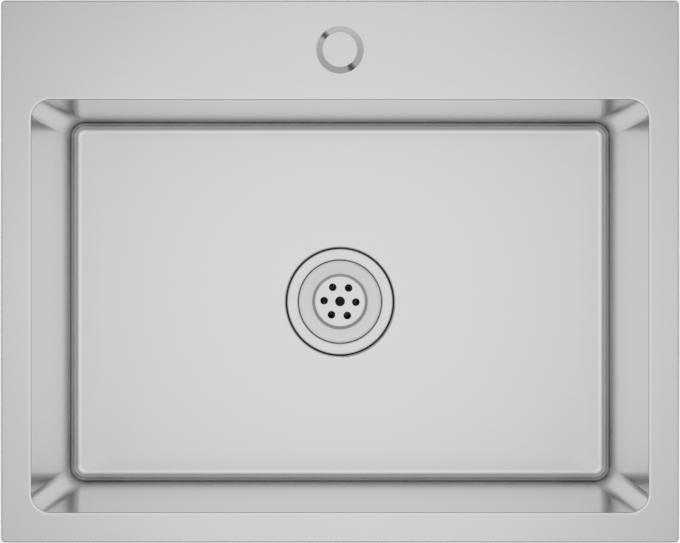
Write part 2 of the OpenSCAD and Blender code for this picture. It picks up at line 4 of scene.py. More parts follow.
import bmesh
import bpy
from bpy.props import FloatProperty, FloatVectorProperty, PointerProperty
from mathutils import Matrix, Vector

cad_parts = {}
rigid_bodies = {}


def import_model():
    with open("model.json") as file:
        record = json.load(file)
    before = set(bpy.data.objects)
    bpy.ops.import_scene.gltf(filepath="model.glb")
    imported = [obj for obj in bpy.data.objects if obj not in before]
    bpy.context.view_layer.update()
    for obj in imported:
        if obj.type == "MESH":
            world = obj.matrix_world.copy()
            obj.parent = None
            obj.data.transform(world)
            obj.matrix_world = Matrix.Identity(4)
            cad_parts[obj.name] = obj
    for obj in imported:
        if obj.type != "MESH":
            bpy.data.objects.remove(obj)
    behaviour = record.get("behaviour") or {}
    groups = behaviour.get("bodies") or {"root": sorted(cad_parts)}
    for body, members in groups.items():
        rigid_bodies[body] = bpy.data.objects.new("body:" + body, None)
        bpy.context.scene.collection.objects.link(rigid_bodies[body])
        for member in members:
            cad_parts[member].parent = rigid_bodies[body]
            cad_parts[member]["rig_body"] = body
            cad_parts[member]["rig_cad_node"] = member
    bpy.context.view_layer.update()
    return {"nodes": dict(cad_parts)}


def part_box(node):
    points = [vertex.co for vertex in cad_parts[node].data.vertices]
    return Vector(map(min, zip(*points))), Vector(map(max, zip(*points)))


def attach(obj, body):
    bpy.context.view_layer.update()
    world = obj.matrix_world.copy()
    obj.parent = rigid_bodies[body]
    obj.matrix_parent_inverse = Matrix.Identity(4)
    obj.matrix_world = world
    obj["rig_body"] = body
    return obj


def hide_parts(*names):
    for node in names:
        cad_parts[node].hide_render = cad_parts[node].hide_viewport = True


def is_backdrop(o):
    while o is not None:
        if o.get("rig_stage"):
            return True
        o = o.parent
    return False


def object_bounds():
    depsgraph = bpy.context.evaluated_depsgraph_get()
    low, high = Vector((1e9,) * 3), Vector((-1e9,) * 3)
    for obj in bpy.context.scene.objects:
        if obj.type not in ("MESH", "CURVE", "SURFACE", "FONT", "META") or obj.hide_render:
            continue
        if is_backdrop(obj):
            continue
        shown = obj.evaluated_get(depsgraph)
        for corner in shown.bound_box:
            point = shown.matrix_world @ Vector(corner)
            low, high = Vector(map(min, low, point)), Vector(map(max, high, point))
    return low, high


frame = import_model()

bl_info = {
    "name": "Top-mount kitchen sink",
    "version": (1, 0, 0),
    "blender": (4, 5, 0),
    "location": "View3D > Sidebar > Sink",
    "description": "Dresses the packed sink: sheet steel, waste, seals, pads, fixings and the studio",
    "category": "Object",
}

MM = 0.001
CORNERS = ("left_front", "left_rear", "right_front", "right_rear")
# Radii in mm: the bore of what sits round the cup, the bore of the pipe, the hole for a stud and a stud's thread
CUP_CLEAR = 42.2
PIPE_BORE = 18.2
STUD_HOLE = 3.3
STUD_CREST = 3.0
# Depth of a stud's thread in mm
STUD_DEPTH = 0.55


def linear(colour):
    """An sRGB hex colour as Blender's linear colour."""
    parts = [int(colour[i:i + 2], 16) / 255 for i in (1, 3, 5)]
    return tuple(c / 12.92 if c <= 0.04045 else ((c + 0.055) / 1.055) ** 2.4 for c in parts) + (1.0,)


def centre_of(node):
    """Middle of a CAD node, seen from above."""
    low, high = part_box(node)
    return Vector(((low.x + high.x) / 2, (low.y + high.y) / 2, 0))


# Sizes and finishes that a user would change


class SinkSizes(bpy.types.PropertyGroup):
    """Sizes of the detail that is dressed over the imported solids"""

    stud_pitch: FloatProperty(
        name="Stud thread pitch", description="Rise of the M6 studs' thread in one turn",
        default=1.0 * MM, min=0.5 * MM, max=2 * MM, unit="LENGTH")
    waste_pitch: FloatProperty(
        name="Waste thread pitch", description="Rise of the cup's and the neck's thread in one turn",
        default=2.5 * MM, min=1 * MM, max=4 * MM, unit="LENGTH")
    waste_thread_depth: FloatProperty(
        name="Waste thread depth", description="Depth of the cup's and the neck's thread",
        default=0.8 * MM, min=0.3 * MM, max=1.2 * MM, unit="LENGTH")
    rubber_edge: FloatProperty(
        name="Rubber edge", description="Rounding of the rubber rings",
        default=0.4 * MM, min=0.1 * MM, max=0.5 * MM, unit="LENGTH")
    moulded_edge: FloatProperty(
        name="Moulded edge", description="Rounding of the plastic nuts and the pipe",
        default=0.5 * MM, min=0.1 * MM, max=1 * MM, unit="LENGTH")
    pressed_edge: FloatProperty(
        name="Pressed edge", description="Rounding of the zinc plated pressings",
        default=0.25 * MM, min=0.05 * MM, max=0.5 * MM, unit="LENGTH")
    pad_edge: FloatProperty(
        name="Pad edge", description="Rounding of the sound pads' outer face",
        default=0.9 * MM, min=0.2 * MM, max=1.2 * MM, unit="LENGTH")


class SinkFinish(bpy.types.PropertyGroup):
    """Colours and roughnesses of the finishes"""

    steel: FloatVectorProperty(
        name="Stainless steel", description="Reflected colour of the stainless steel",
        subtype="COLOR", size=4, min=0, max=1, default=linear("#eeeeee"))
    panel_roughness: FloatProperty(
        name="Panel roughness", description="Roughness of the straight brushed panel",
        default=0.15, min=0, max=1, subtype="FACTOR")
    bowl_roughness: FloatProperty(
        name="Bowl roughness", description="Roughness of the bowl's satin floor and its bends",
        default=0.15, min=0, max=1, subtype="FACTOR")
    wall_roughness: FloatProperty(
        name="Wall roughness", description="Roughness of the bowl's brushed walls",
        default=0.22, min=0, max=1, subtype="FACTOR")
    waste_roughness: FloatProperty(
        name="Waste roughness", description="Roughness of the waste and its basket",
        default=0.16, min=0, max=1, subtype="FACTOR")
    zinc: FloatVectorProperty(
        name="Zinc plating", description="Reflected colour of the zinc plated steel",
        subtype="COLOR", size=4, min=0, max=1, default=linear("#c3c8cc"))
    pad: FloatVectorProperty(
        name="Sound pads", description="Colour of the bitumen rubber pads",
        subtype="COLOR", size=4, min=0, max=1, default=linear("#3a3b3d"))
    rubber: FloatVectorProperty(
        name="Rubber", description="Colour of the rubber rings",
        subtype="COLOR", size=4, min=0, max=1, default=linear("#232324"))
    foam: FloatVectorProperty(
        name="Foam", description="Colour of the foam rim seal",
        subtype="COLOR", size=4, min=0, max=1, default=linear("#56575a"))
    grey_plastic: FloatVectorProperty(
        name="Grey plastic", description="Colour of the plastic nuts",
        subtype="COLOR", size=4, min=0, max=1, default=linear("#5c5e61"))
    white_plastic: FloatVectorProperty(
        name="White plastic", description="Colour of the outlet pipe and the slip ring",
        subtype="COLOR", size=4, min=0, max=1, default=linear("#e4e4e0"))


class SinkStage(bpy.types.PropertyGroup):
    """Camera and studio"""

    camera_height: FloatProperty(
        name="Camera height", description="Height of the camera over the worktop",
        default=1.4175, min=0.5, max=5, unit="LENGTH")
    camera_lens: FloatProperty(
        name="Lens", description="Focal length in millimetres on a 36 mm sensor",
        default=84.6, min=20, max=200)
    box_height: FloatProperty(
        name="Soft box height", description="Height of the soft box over the worktop",
        default=1.5, min=1.45, max=5, unit="LENGTH")
    box_shift: FloatProperty(
        name="Soft box shift", description="How far the soft box's middle lies towards the tap",
        default=-0.035, min=-0.5, max=0.5, unit="LENGTH")
    floor_drop: FloatProperty(
        name="Floor", description="Gap between the outlet pipe and the studio floor",
        default=0.5 * MM, min=0, max=0.2, unit="LENGTH")
    lamp_power: FloatProperty(
        name="Lamp power", description="Power of each soft lamp that lights the matt pieces",
        default=14.0, min=0, max=200, unit="POWER")


# Materials


def node(tree, kind, settings=None, links=None):
    """Adds a node, sets its properties or inputs, and links its inputs. A number names an input by its place."""
    made = tree.nodes.new(kind)
    for name, value in (settings or {}).items():
        if isinstance(name, int) or name in made.inputs:
            made.inputs[name].default_value = value
        else:
            setattr(made, name, value)
    for name, source in (links or {}).items():
        tree.links.new(source, made.inputs[name])
    return made


def new_material(name):
    """An empty material, its tree, its Principled shader and the object's coordinates in metres."""
    material = bpy.data.materials.new(name)
    material.use_nodes = True
    tree = material.node_tree
    tree.nodes.clear()
    shader = node(tree, "ShaderNodeBsdfPrincipled")
    node(tree, "ShaderNodeOutputMaterial", links={"Surface": shader.outputs[0]})
    place = node(tree, "ShaderNodeTexCoord")
    return material, tree, shader, place


def roughened(tree, shader, height, strength, distance):
    """Gives the shader a relief from a height between 0 and 1."""
    bump = node(tree, "ShaderNodeBump", {"Strength": strength, "Distance": distance}, {"Height": height})
    tree.links.new(bump.outputs[0], shader.inputs["Normal"])


def spread(tree, value, low, high):
    """Stretches a pattern's 0 to 1 over a range."""
    return node(tree, "ShaderNodeMapRange", {"To Min": low, "To Max": high}, {"Value": value}).outputs[0]


def tinted(tree, colour, factor):
    """A colour times a grey factor."""
    return node(tree, "ShaderNodeMix", {"data_type": "RGBA", "blend_type": "MULTIPLY", "Factor": 1.0, 6: colour},
                {7: factor}).outputs[2]


def brightness_by(tree, value, levels):
    """Brightness that changes evenly from each pair of a value and its brightness to the next pair."""
    full = levels[-1][0]
    share = node(tree, "ShaderNodeMapRange", {"From Max": full}, {"Value": value})
    ramp = node(tree, "ShaderNodeValToRGB", links={0: share.outputs[0]})
    stops = ramp.color_ramp.elements
    stops.remove(stops[1])
    stops[0].color = (levels[0][1],) * 3 + (1,)
    for reached, bright in levels[1:]:
        stops.new(reached / full).color = (bright,) * 3 + (1,)
    return ramp.outputs[0]


def facing_point(tree, place, point):
    """1 where the surface faces a point, and 0 where it faces away."""
    to_point = node(tree, "ShaderNodeVectorMath", {"operation": "SUBTRACT", 0: point}, {1: place.outputs["Object"]})
    facing = node(tree, "ShaderNodeVectorMath", {"operation": "DOT_PRODUCT"},
                  {0: to_point.outputs[0], 1: place.outputs["Normal"]})
    return node(tree, "ShaderNodeMath", {"operation": "GREATER_THAN", 1: 0.0}, {0: facing.outputs["Value"]}).outputs[0]


def brushed_stainless_panel(finish):
    """304 stainless sheet, belt brushed along the sink's width: fine straight grain, soft stretched glints."""
    material, tree, shader, place = new_material("brushed_stainless_panel")
    # Belt grit leaves lines about 0.1 mm apart and 50 mm long. They are drawn 0.9 mm apart so that they show.
    grain_space = node(tree, "ShaderNodeMapping", {"Scale": (18, 1100, 1100)}, {"Vector": place.outputs["Object"]})
    grain = node(tree, "ShaderNodeTexNoise", {"Scale": 1.0, "Detail": 3.0, "Roughness": 0.6},
                 {"Vector": grain_space.outputs[0]})
    # Cloudy change over about 100 mm where the belt pressed harder
    cloud = node(tree, "ShaderNodeTexNoise", {"Scale": 9.0, "Detail": 2.0}, {"Vector": place.outputs["Object"]})
    tone = node(tree, "ShaderNodeMath", {"operation": "MULTIPLY"},
                {0: spread(tree, grain.outputs[0], 0.965, 1.035), 1: spread(tree, cloud.outputs[0], 0.985, 1.015)})
    shader.inputs["Metallic"].default_value = 1.0
    shader.inputs["Anisotropic"].default_value = 0.35
    tree.links.new(tinted(tree, finish.steel, tone.outputs[0]), shader.inputs["Base Color"])
    tree.links.new(spread(tree, grain.outputs[0], finish.panel_roughness - 0.03, finish.panel_roughness + 0.03),
                   shader.inputs["Roughness"])
    roughened(tree, shader, grain.outputs[0], 0.05, 0.05 * MM)
    return material


def satin_stainless_bowl(finish):
    """304 stainless, drawn and satin polished inside, left with the mill's dull skin outside."""
    material, tree, shader, place = new_material("satin_stainless_bowl")
    middle = centre_of("bowl")
    inside = facing_point(tree, place, (middle.x, middle.y, 0.0))
    # A thin dark ring round the waste's flange is painted shade, standing in for the shadow of the narrow gap.
    across, radius = from_axis(tree, place, centre_of("strainer_body"))
    painted_gap_shade = brightness_by(tree, radius, ((0, 1.0), (0.0534, 1.0), (0.0537, 0.25), (0.0546, 0.25), (0.0552, 1.0)))
    # A dark band is painted into the bend where the wall meets its foot: painted shade, standing in for the dark
    # reflection that the bend shows.
    height = node(tree, "ShaderNodeSeparateXYZ", links={0: place.outputs["Object"]})
    depth = node(tree, "ShaderNodeMath", {"operation": "MULTIPLY", 1: -1.0}, {0: height.outputs["Z"]})
    painted_bend_shade = brightness_by(tree, depth.outputs[0], ((0, 1.0), (0.1852, 1.0), (0.1864, 0.6), (0.1896, 0.6),
                                                  (0.1912, 1.0)))
    # Polishing lines about 0.1 mm apart, drawn 1 mm apart so that they show
    grain_space = node(tree, "ShaderNodeMapping", {"Scale": (14, 1000, 1000)}, {"Vector": place.outputs["Object"]})
    grain = node(tree, "ShaderNodeTexNoise", {"Scale": 1.0, "Detail": 3.0, "Roughness": 0.6},
                 {"Vector": grain_space.outputs[0]})
    # The mill's skin is mottled over about 5 mm.
    mottle = node(tree, "ShaderNodeTexNoise", {"Scale": 200.0, "Detail": 4.0}, {"Vector": place.outputs["Object"]})
    tone = node(tree, "ShaderNodeMix", {"data_type": "FLOAT"},
                {0: inside, 2: spread(tree, mottle.outputs[0], 0.7, 0.86),
                 3: spread(tree, grain.outputs[0], 0.985, 1.015)})
    shader.inputs["Metallic"].default_value = 1.0
    shader.inputs["Anisotropic"].default_value = 0.2
    # Both painted shade lines darken the steel's colour.
    lines = product(tree, painted_gap_shade, painted_bend_shade)
    tree.links.new(tinted(tree, finish.steel, product(tree, tone.outputs[0], lines)), shader.inputs["Base Color"])
    # The walls are brushed and the pressed bends and the floor are smoother.
    upright = node(tree, "ShaderNodeSeparateXYZ", links={0: place.outputs["Normal"]})
    flat = node(tree, "ShaderNodeMath", {"operation": "ABSOLUTE"}, {0: upright.outputs["Z"]})
    satin = node(tree, "ShaderNodeMapRange", {"From Min": 0.02, "From Max": 0.3, "To Min": finish.wall_roughness,
                                              "To Max": finish.bowl_roughness}, {"Value": flat.outputs[0]})
    fine = node(tree, "ShaderNodeMath", {"operation": "ADD"},
                {0: satin.outputs[0], 1: spread(tree, grain.outputs[0], -0.02, 0.02)})
    rough = node(tree, "ShaderNodeMix", {"data_type": "FLOAT"},
                 {0: inside, 2: spread(tree, mottle.outputs[0], 0.38, 0.5), 3: fine.outputs[0]})
    tree.links.new(rough.outputs[0], shader.inputs["Roughness"])
    return material


def from_axis(tree, place, middle):
    """A place across a vertical axis, and its distance from that axis in metres."""
    across = node(tree, "ShaderNodeMapping", {"Location": (-middle.x, -middle.y, 0), "Scale": (1, 1, 0)},
                  {"Vector": place.outputs["Object"]})
    radius = node(tree, "ShaderNodeVectorMath", {"operation": "LENGTH"}, {0: across.outputs[0]})
    return across.outputs[0], radius.outputs["Value"]


def product(tree, first, second):
    """Two values multiplied."""
    return node(tree, "ShaderNodeMath", {"operation": "MULTIPLY"}, {0: first, 1: second}).outputs[0]


def turned_stainless(finish, name, axis_node, painted_light_and_shade):
    """304 stainless, polished on a turning machine: faint rings round the piece's own axis. The function passed in
    makes the painted light and shade that its brightness is multiplied by, from the tree, its coordinates and the
    distance from the axis."""
    material, tree, shader, place = new_material(name)
    across, radius = from_axis(tree, place, centre_of(axis_node))
    height = node(tree, "ShaderNodeSeparateXYZ", links={0: place.outputs["Object"]})
    # Turning marks about 0.1 mm apart, drawn 0.6 mm apart so that they show
    rings_space = node(tree, "ShaderNodeCombineXYZ", links={0: radius, 2: height.outputs["Z"]})
    rings = node(tree, "ShaderNodeTexNoise", {"Scale": 1600.0, "Detail": 2.0}, {"Vector": rings_space.outputs[0]})
    tone = product(tree, spread(tree, rings.outputs[0], 0.97, 1.03), painted_light_and_shade(tree, place, across, radius))
    rough = finish.waste_roughness
    shader.inputs["Metallic"].default_value = 1.0
    tree.links.new(tinted(tree, finish.steel, tone), shader.inputs["Base Color"])
    tree.links.new(spread(tree, rings.outputs[0], rough - 0.02, rough + 0.03), shader.inputs["Roughness"])
    return material


def turned_waste_body(finish):
    """The waste's body is polished outside, and its cup is painted dark inside: painted shade, as little light reaches
    into the cup.
    """
    def painted_light_and_shade(tree, place, across, radius):
        middle = centre_of("strainer_body")
        inside = facing_point(tree, place, (middle.x, middle.y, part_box("strainer_basket")[0].z))
        cup = node(tree, "ShaderNodeMath", {"operation": "LESS_THAN", 1: 40.5 * MM}, {0: radius})
        # Painted shade: the cup's inner faces are darkened to a fifth of the steel's colour.
        return spread(tree, product(tree, inside, cup.outputs[0]), 1.0, 0.2)
    return turned_stainless(finish, "turned_stainless_waste", "strainer_body", painted_light_and_shade)


def drawn_basket(finish):
    """Painted shade darkens the wall of the basket's well, and a painted highlight brightens its dish a little, up to a
    slightly darker rim.
    """
    def painted_light_and_shade(tree, place, across, radius):
        # Brightness by the distance from the axis: painted shade on the well's wall, a painted highlight on the dish.
        return brightness_by(tree, radius, ((0, 1.0), (0.0249, 1.0), (0.0262, 0.12), (0.0271, 0.12), (0.0278, 1.0),
                                            (0.03, 1.08), (0.0385, 1.09), (0.0405, 0.98), (0.0415, 0.98)))
    return turned_stainless(finish, "drawn_stainless_basket", "strainer_basket", painted_light_and_shade)


def pressed_cap(finish):
    """The cap's bevel has a slight painted sheen, with two painted dark reflections that nearly face each other."""
    def painted_light_and_shade(tree, place, across, radius):
        sides = node(tree, "ShaderNodeSeparateXYZ", links={0: across})
        turn = node(tree, "ShaderNodeMath", {"operation": "ARCTAN2"}, {0: sides.outputs["Y"], 1: sides.outputs["X"]})
        tone = None
        # Each painted dark reflection fades out between 3 and 13 degrees from its middle; away from both, the bevel is
        # painted a little brighter.
        for degrees in (137.0, -58.0):
            away = node(tree, "ShaderNodeMath", {"operation": "SUBTRACT", 1: math.radians(degrees)},
                        {0: turn.outputs[0]})
            away = node(tree, "ShaderNodeMath", {"operation": "ABSOLUTE"}, {0: away.outputs[0]})
            mark = node(tree, "ShaderNodeMapRange", {"From Min": math.radians(3), "From Max": math.radians(13),
                                                     "To Min": 0.22, "To Max": 1.06}, {"Value": away.outputs[0]})
            tone = product(tree, tone, mark.outputs[0]) if tone else mark.outputs[0]
        bevel = node(tree, "ShaderNodeMath", {"operation": "GREATER_THAN", 1: 15.6 * MM}, {0: radius})
        return node(tree, "ShaderNodeMix", {"data_type": "FLOAT", 2: 1.0}, {0: bevel.outputs[0], 3: tone}).outputs[0]
    return turned_stainless(finish, "pressed_stainless_cap", "cover_cap", painted_light_and_shade)


def zinc_plated_steel(finish):
    """Mild steel, pressed or rolled and zinc plated: bluish grey, with a faint crystal mottle."""
    material, tree, shader, place = new_material("zinc_plated_steel")
    crystals = node(tree, "ShaderNodeTexVoronoi", {"Scale": 900.0}, {"Vector": place.outputs["Object"]})
    dull = node(tree, "ShaderNodeTexNoise", {"Scale": 260.0, "Detail": 3.0}, {"Vector": place.outputs["Object"]})
    shader.inputs["Metallic"].default_value = 1.0
    tree.links.new(tinted(tree, finish.zinc, spread(tree, crystals.outputs["Distance"], 0.86, 1.06)),
                   shader.inputs["Base Color"])
    tree.links.new(spread(tree, dull.outputs[0], 0.28, 0.46), shader.inputs["Roughness"])
    roughened(tree, shader, dull.outputs[0], 0.12, 0.1 * MM)
    return material


def bitumen_rubber_pad(finish):
    """Calendered bitumen rubber sheet: dull, with a pebbled face and talc left in the hollows."""
    material, tree, shader, place = new_material("bitumen_rubber_pad")
    pebbles = node(tree, "ShaderNodeTexVoronoi", {"Scale": 420.0, "Randomness": 0.9},
                   {"Vector": place.outputs["Object"]})
    talc = node(tree, "ShaderNodeTexNoise", {"Scale": 60.0, "Detail": 5.0, "Roughness": 0.65},
                {"Vector": place.outputs["Object"]})
    tone = node(tree, "ShaderNodeMath", {"operation": "MULTIPLY"},
                {0: spread(tree, pebbles.outputs["Distance"], 1.08, 0.8),
                 1: spread(tree, talc.outputs[0], 0.75, 1.35)})
    shader.inputs["IOR"].default_value = 1.52
    shader.inputs["Specular IOR Level"].default_value = 0.35
    tree.links.new(tinted(tree, finish.pad, tone.outputs[0]), shader.inputs["Base Color"])
    tree.links.new(spread(tree, talc.outputs[0], 0.72, 0.9), shader.inputs["Roughness"])
    roughened(tree, shader, pebbles.outputs["Distance"], 0.5, 0.4 * MM)
    return material


def closed_cell_foam(finish):
    """Closed-cell polyethylene foam tape: open pores under 1 mm on its cut faces."""
    material, tree, shader, place = new_material("closed_cell_foam")
    pores_and_painted_pit_shade = node(tree, "ShaderNodeTexVoronoi", {"Scale": 1500.0, "feature": "F1"},
                 {"Vector": place.outputs["Object"]})
    shader.inputs["IOR"].default_value = 1.5
    shader.inputs["Sheen Weight"].default_value = 0.15
    # The pores are painted darker than the cell walls: painted shade in the pits.
    tree.links.new(tinted(tree, finish.foam, spread(tree, pores_and_painted_pit_shade.outputs["Distance"], 0.6, 1.15)),
                   shader.inputs["Base Color"])
    shader.inputs["Roughness"].default_value = 0.95
    roughened(tree, shader, pores_and_painted_pit_shade.outputs["Distance"], 0.6, 0.3 * MM)
    return material


def moulded_rubber(finish):
    """Compression moulded nitrile rubber: near black, with a slight bloom."""
    material, tree, shader, place = new_material("moulded_rubber")
    bloom = node(tree, "ShaderNodeTexNoise", {"Scale": 120.0, "Detail": 4.0}, {"Vector": place.outputs["Object"]})
    shader.inputs["IOR"].default_value = 1.52
    tree.links.new(tinted(tree, finish.rubber, spread(tree, bloom.outputs[0], 0.75, 1.4)),
                   shader.inputs["Base Color"])
    tree.links.new(spread(tree, bloom.outputs[0], 0.5, 0.7), shader.inputs["Roughness"])
    roughened(tree, shader, bloom.outputs[0], 0.1, 0.1 * MM)
    return material


def moulded_polypropylene(finish, name, colour):
    """Injection moulded polypropylene: waxy, with the tool's fine spark texture."""
    material, tree, shader, place = new_material(name)
    # Spark erosion leaves pits about 0.1 mm wide. They are drawn 0.5 mm wide so that they show.
    spark = node(tree, "ShaderNodeTexNoise", {"Scale": 2000.0, "Detail": 2.0}, {"Vector": place.outputs["Object"]})
    flow = node(tree, "ShaderNodeTexNoise", {"Scale": 25.0, "Detail": 2.0}, {"Vector": place.outputs["Object"]})
    shader.inputs["IOR"].default_value = 1.49
    shader.inputs["Subsurface Weight"].default_value = 0.0
    tree.links.new(tinted(tree, colour, spread(tree, flow.outputs[0], 0.95, 1.04)), shader.inputs["Base Color"])
    tree.links.new(spread(tree, spark.outputs[0], 0.36, 0.5), shader.inputs["Roughness"])
    roughened(tree, shader, spark.outputs[0], 0.15, 0.05 * MM)
    return material


def finish_with(target, material):
    """Puts one material on a piece or a CAD node, in place of what it had."""
    target.data.materials.clear()
    target.data.materials.append(material)


# Modelling, as by hand


def clear_selection():
    bpy.ops.object.select_all(action="DESELECT")


def pick(piece):
    """Selects one piece alone and makes it the active one."""
    clear_selection()
    piece.select_set(True)
    bpy.context.view_layer.objects.active = piece


def select_points(piece, wanted):
    """In edit mode, selects the vertices whose place passes the test, and the faces and edges among them."""
    bpy.ops.mesh.select_mode(type="VERT")
    mesh = bmesh.from_edit_mesh(piece.data)
    for vert in mesh.verts:
        vert.select = wanted(piece.matrix_world @ vert.co)
    mesh.select_flush_mode()
    bmesh.update_edit_mesh(piece.data)


def select_lines(piece, wanted):
    """In edit mode, selects the edges that pass the test, given their two ends and the edge itself."""
    bpy.ops.mesh.select_all(action="DESELECT")
    bpy.ops.mesh.select_mode(type="EDGE")
    mesh = bmesh.from_edit_mesh(piece.data)
    for line in mesh.edges:
        line.select_set(wanted(line.verts[0].co, line.verts[1].co, line))
    bmesh.update_edit_mesh(piece.data)


def trace(name, points):
    """A line traced from point to point by extruding one vertex. It is left in edit mode."""
    clear_selection()
    bpy.ops.mesh.primitive_plane_add(size=MM, location=points[0])
    piece = bpy.context.object
    piece.name = name
    bpy.ops.object.mode_set(mode="EDIT")
    bpy.ops.mesh.select_mode(type="VERT")
    bpy.ops.mesh.select_all(action="SELECT")
    bpy.ops.mesh.merge(type="CENTER")
    for here, there in zip(points, points[1:]):
        bpy.ops.mesh.extrude_vertices_move(TRANSFORM_OT_translate={"value": Vector(there) - Vector(here)})
    return piece


def closed_outline(name, points):
    """A closed line through the points, left in edit mode and selected."""
    piece = trace(name, points + points[:1])
    bpy.ops.mesh.select_all(action="SELECT")
    bpy.ops.mesh.remove_doubles(threshold=0.001 * MM)
    return piece


def apply_place(piece):
    pick(piece)
    bpy.ops.object.transform_apply(location=True, rotation=True, scale=True)


def turned(name, middle, profile, edge=0.0, steps=96, sharp=()):
    """Spins a closed profile of (radius, height) in mm round a vertical axis. Corners are rounded by edge, apart
    from those whose number is in sharp."""
    points = [(middle.x + r * MM, middle.y, z * MM) for r, z in profile]
    piece = closed_outline(name, points)
    if edge:
        kept = [Vector(points[i]) for i in sharp]
        select_points(piece, lambda p: all((p - k).length > 0.01 * MM for k in kept))
        bpy.ops.mesh.bevel(offset=edge, segments=4, affect="VERTICES")
    bpy.ops.mesh.select_all(action="SELECT")
    bpy.ops.mesh.spin(steps=steps, angle=2 * math.pi, center=(middle.x, middle.y, 0), axis=(0, 0, 1))
    close_up(piece)
    return piece


def close_up(piece):
    """Merges doubles, points the faces outwards and puts the piece's place in its mesh. Leaves edit mode."""
    bpy.ops.mesh.select_all(action="SELECT")
    bpy.ops.mesh.remove_doubles(threshold=0.001 * MM)
    bpy.ops.mesh.dissolve_degenerate(threshold=0.0005 * MM)
    bpy.ops.mesh.select_all(action="SELECT")
    bpy.ops.mesh.delete_loose(use_verts=True, use_edges=True, use_faces=False)
    bpy.ops.mesh.select_all(action="SELECT")
    bpy.ops.mesh.normals_make_consistent(inside=False)
    bpy.ops.object.mode_set(mode="OBJECT")
    apply_place(piece)


def thread_ridge(middle, low, high, crest, depth, pitch, steps):
    """The ridge of an outer thread, wound between two heights in mm. Its foot lies 0.1 mm inside the bar."""
    foot = crest - depth - 0.1
    outline = [(foot, 0.0), (crest, 0.4), (crest, 0.55), (foot, 0.95)]
    ridge = closed_outline("ridge", [(middle.x + r * MM, middle.y, (low + h * pitch) * MM) for r, h in outline])
    bpy.ops.object.mode_set(mode="OBJECT")
    apply_place(ridge)
    bpy.context.scene.cursor.location = (middle.x, middle.y, 0)
    bpy.ops.object.origin_set(type="ORIGIN_CURSOR")
    apply_modifier(ridge, "SCREW", screw_offset=pitch * MM, iterations=int((high - low) / pitch - 0.95),
                   steps=steps, render_steps=steps)
    bpy.ops.object.mode_set(mode="EDIT")
    bpy.ops.mesh.select_all(action="SELECT")
    bpy.ops.mesh.fill_holes(sides=len(outline))
    close_up(ridge)
    return ridge


def threaded(name, middle, low, high, crest, depth, pitch, steps):
    """A solid threaded rod between two heights in mm, with a chamfered lower end."""
    root = crest - depth
    bar = turned(name, middle, [(0, low), (root - 0.5, low), (root, low + 0.5), (root, high), (0, high)], 0, 2 * steps)
    combine(bar, thread_ridge(middle, low + 0.5, high, crest, depth, pitch, steps), "UNION")
    return clean(bar)


def apply_modifier(piece, kind, **settings):
    pick(piece)
    modifier = piece.modifiers.new(kind.lower(), kind)
    for name, value in settings.items():
        setattr(modifier, name, value)
    bpy.ops.object.modifier_apply(modifier=modifier.name)


def combine(piece, tool, operation):
    """Joins, cuts or trims a piece with another solid, which is used up."""
    apply_modifier(piece, "BOOLEAN", object=tool, operation=operation, solver="EXACT")
    bpy.data.objects.remove(tool)


def clean(piece):
    """Takes out the slivers and pinholes that a cut leaves."""
    pick(piece)
    bpy.ops.object.mode_set(mode="EDIT")
    bpy.ops.mesh.select_all(action="SELECT")
    bpy.ops.mesh.quads_convert_to_tris()
    bpy.ops.mesh.remove_doubles(threshold=0.001 * MM)
    bpy.ops.mesh.fill_holes(sides=8)
    close_up(piece)
    bpy.ops.object.mode_set(mode="EDIT")
    bpy.ops.mesh.select_all(action="SELECT")
    bpy.ops.mesh.quads_convert_to_tris()
    bpy.ops.object.mode_set(mode="OBJECT")
    return piece


def soften(piece, width, segments=2, angle=30):
    """Rounds a piece's sharp edges."""
    apply_modifier(piece, "BEVEL", width=width, segments=segments, limit_method="ANGLE",
                   angle_limit=math.radians(angle), harden_normals=False)


def rod(middle, low, high, radius, vertices=48):
    """Round bar between two heights in mm, as a tool for cutting or joining."""
    clear_selection()
    bpy.ops.mesh.primitive_cylinder_add(vertices=vertices, radius=radius * MM, depth=(high - low) * MM,
                                        location=(middle.x, middle.y, (low + high) / 2 * MM))
    tool = bpy.context.object
    apply_place(tool)
    return tool


def block(low, high):
    """Box between two corners in mm."""
    size = [(b - a) * MM for a, b in zip(low, high)]
    clear_selection()
    bpy.ops.mesh.primitive_cube_add(size=1, location=[(a + b) / 2 * MM for a, b in zip(low, high)])
    piece = bpy.context.object
    bpy.ops.object.mode_set(mode="EDIT")
    bpy.ops.transform.resize(value=size)
    bpy.ops.object.mode_set(mode="OBJECT")
    apply_place(piece)
    return piece


def joined(name, parts):
    """Makes one piece of several."""
    clear_selection()
    for part in parts:
        part.select_set(True)
    bpy.context.view_layer.objects.active = parts[0]
    bpy.ops.object.join()
    parts[0].name = name
    return parts[0]


def copied(piece, name, shift=(0, 0, 0), turn=0.0, about=(0, 0, 0)):
    """A copy with its own mesh, turned about a vertical axis and then moved."""
    pick(piece)
    bpy.ops.object.duplicate(linked=False)
    twin = bpy.context.object
    twin.name = name
    bpy.ops.object.mode_set(mode="EDIT")
    bpy.ops.mesh.select_all(action="SELECT")
    if turn:
        bpy.ops.transform.rotate(value=-turn, orient_axis="Z", center_override=about)
    bpy.ops.transform.translate(value=shift)
    bpy.ops.object.mode_set(mode="OBJECT")
    return twin


